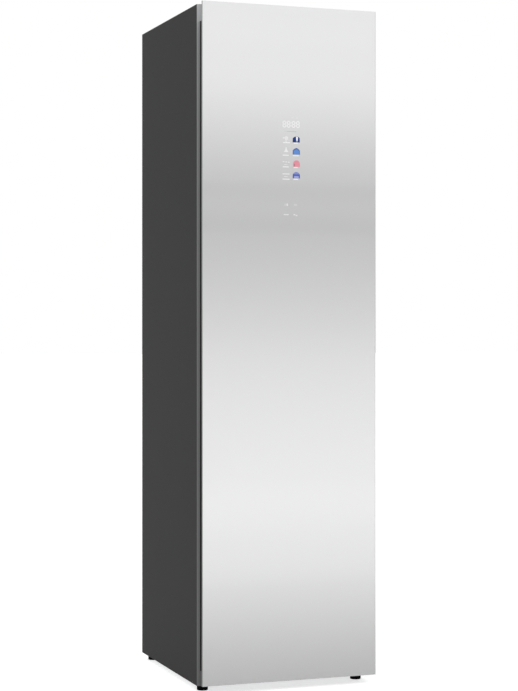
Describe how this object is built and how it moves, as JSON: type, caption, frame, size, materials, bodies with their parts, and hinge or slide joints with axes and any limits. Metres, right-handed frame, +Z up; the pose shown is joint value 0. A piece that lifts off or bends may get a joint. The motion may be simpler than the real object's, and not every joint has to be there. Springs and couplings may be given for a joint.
{
  "type": "clothes care steam cabinet",
  "caption": "Tall slim steam cabinet for clothes, with a full-height glass door, a shaking hanger rail, water tanks and a heat pump below the chamber.",
  "frame": {"origin": "on the floor, under the middle of the cabinet's bounding box", "axes": "+Z up, -Y the glass front, +X the right-hand side seen from the front, where the door is hinged"},
  "size_m": [0.503, 0.574, 1.85],
  "materials": {
    "casing_grey": "satin",
    "galvanised_steel": "satin",
    "rim_plastic": "matte",
    "liner_plastic": "satin",
    "insulation": "matte",
    "lamp_diffuser": "satin",
    "rail_steel": "polished",
    "zinc_steel": "satin",
    "white_plastic": "satin",
    "black_plastic": "satin",
    "compressor_black": "satin",
    "motor_steel": "satin",
    "mount_rubber": "matte",
    "coil_aluminium": "satin",
    "boiler_aluminium": "matte",
    "pipe_plastic": "satin",
    "silver_glass": "polished",
    "door_aluminium": "satin",
    "door_cap_plastic": "satin",
    "gasket_rubber": "matte",
    "display_plastic": "gloss",
    "bush_plastic": "satin",
    "tank_plastic": "gloss",
    "tank_lid_plastic": "satin",
    "filter_plastic": "satin",
    "foot_plastic": "satin"
  },
  "bodies": {
    "cabinet": {"left_side_panel": "casing_grey", "right_side_panel": "casing_grey", "top_panel": "casing_grey", "rear_panel": "galvanised_steel", "rear_service_cover": "galvanised_steel", "base_tray": "galvanised_steel", "front_rim": "rim_plastic", "liner_left": "liner_plastic", "liner_right": "liner_plastic", "liner_back": "liner_plastic", "chamber_ceiling": "liner_plastic", "chamber_floor": "liner_plastic", "wall_insulation": "insulation", "chamber_lamp": "lamp_diffuser", "shelf_ledges": "liner_plastic", "rail_guides": "white_plastic", "shaker_motor": "black_plastic", "tank_bay": "white_plastic", "compressor": "compressor_black", "compressor_mounts": "mount_rubber", "evaporator": "coil_aluminium", "condenser": "coil_aluminium", "fan_housing": "black_plastic", "fan_motor": "motor_steel", "rear_air_duct": "black_plastic", "steam_generator": "boiler_aluminium", "steam_nozzle": "liner_plastic", "water_pumps": "motor_steel", "water_pipes": "pipe_plastic", "control_box": "black_plastic", "power_inlet": "black_plastic", "hinge_brackets": "galvanised_steel", "casing_screws": "zinc_steel"},
    "door": {"door_glass": "silver_glass", "door_grip_profile": "door_aluminium", "door_hinge_stile": "door_aluminium", "door_top_cap": "door_cap_plastic", "door_bottom_cap": "door_cap_plastic", "door_core": "insulation", "door_inner_panel": "liner_plastic", "door_gasket": "gasket_rubber", "display_board": "display_plastic", "hinge_bushes": "bush_plastic"},
    "supply_tank": {"supply_tank": "tank_plastic", "supply_tank_lid": "tank_lid_plastic"},
    "drain_tank": {"drain_tank": "tank_plastic", "drain_tank_lid": "tank_lid_plastic"},
    "lint_filter": {"lint_filter": "filter_plastic"},
    "shelf": {"shelf": "black_plastic"},
    "fan": {"fan_impeller": "black_plastic"},
    "crank": {"shaker_crank": "zinc_steel"},
    "rail": {"hanger_rail": "rail_steel", "rail_carriage": "zinc_steel"},
    "hanger_left": {"hanger_left": "black_plastic"},
    "hanger_middle": {"hanger_middle": "black_plastic"},
    "hanger_right": {"hanger_right": "black_plastic"},
    "foot_front_left": {"foot_front_left": "foot_plastic"},
    "foot_front_right": {"foot_front_right": "foot_plastic"},
    "foot_rear_left": {"foot_rear_left": "foot_plastic"},
    "foot_rear_right": {"foot_rear_right": "foot_plastic"}
  },
  "joints": [
    {"name": "door_swing", "type": "hinge", "parent": "cabinet", "child": "door", "pos_m": [0.2415, -0.265, 0.9], "axis": [0, 0, 1], "range_deg": [0, 110]},
    {"name": "supply_tank_slide", "type": "slide", "parent": "cabinet", "child": "supply_tank", "axis": [0, -1, 0], "range_m": [0, 0.144]},
    {"name": "drain_tank_slide", "type": "slide", "parent": "cabinet", "child": "drain_tank", "axis": [0, -1, 0], "range_m": [0, 0.116]},
    {"name": "filter_lift", "type": "slide", "parent": "cabinet", "child": "lint_filter", "axis": [0, 0, 1], "range_m": [0, 0.1]},
    {"name": "shelf_lift", "type": "slide", "parent": "cabinet", "child": "shelf", "axis": [0, 0, 1], "range_m": [0, 0.05]},
    {"name": "fan_spin", "type": "hinge", "parent": "cabinet", "child": "fan", "pos_m": [-0.043, 0.186, 0.122], "axis": [0, 1, 0], "continuous": true},
    {"name": "crank_turn", "type": "hinge", "parent": "cabinet", "child": "crank", "pos_m": [0, -0.00415, 1.79], "axis": [0, 0, 1], "range_deg": [-40, 40]},
    {"name": "rail_shake", "type": "slide", "parent": "cabinet", "child": "rail", "axis": [1, 0, 0], "range_m": [-0.0079, 0.0079]},
    {"name": "hanger_left_swing", "type": "hinge", "parent": "rail", "child": "hanger_left", "pos_m": [-0.1, -0.00415, 1.69], "axis": [1, 0, 0], "range_deg": [-12, 12]},
    {"name": "hanger_middle_swing", "type": "hinge", "parent": "rail", "child": "hanger_middle", "pos_m": [0, -0.00415, 1.69], "axis": [1, 0, 0], "range_deg": [-12, 12]},
    {"name": "hanger_right_swing", "type": "hinge", "parent": "rail", "child": "hanger_right", "pos_m": [0.1, -0.00415, 1.69], "axis": [1, 0, 0], "range_deg": [-12, 12]},
    {"name": "foot_front_left_screw", "type": "slide", "parent": "cabinet", "child": "foot_front_left", "axis": [0, 0, -1], "range_m": [0, 0.01]},
    {"name": "foot_front_right_screw", "type": "slide", "parent": "cabinet", "child": "foot_front_right", "axis": [0, 0, -1], "range_m": [0, 0.01]},
    {"name": "foot_rear_left_screw", "type": "slide", "parent": "cabinet", "child": "foot_rear_left", "axis": [0, 0, -1], "range_m": [0, 0.01]},
    {"name": "foot_rear_right_screw", "type": "slide", "parent": "cabinet", "child": "foot_rear_right", "axis": [0, 0, -1], "range_m": [0, 0.01]}
  ],
  "couplings": [
    {"joint": "supply_tank_slide", "follows": "door_swing", "m_per_rad": 0.075},
    {"joint": "drain_tank_slide", "follows": "door_swing", "m_per_rad": 0.06},
    {"joint": "crank_turn", "follows": "rail_shake", "rad_per_m": -88}
  ]
}
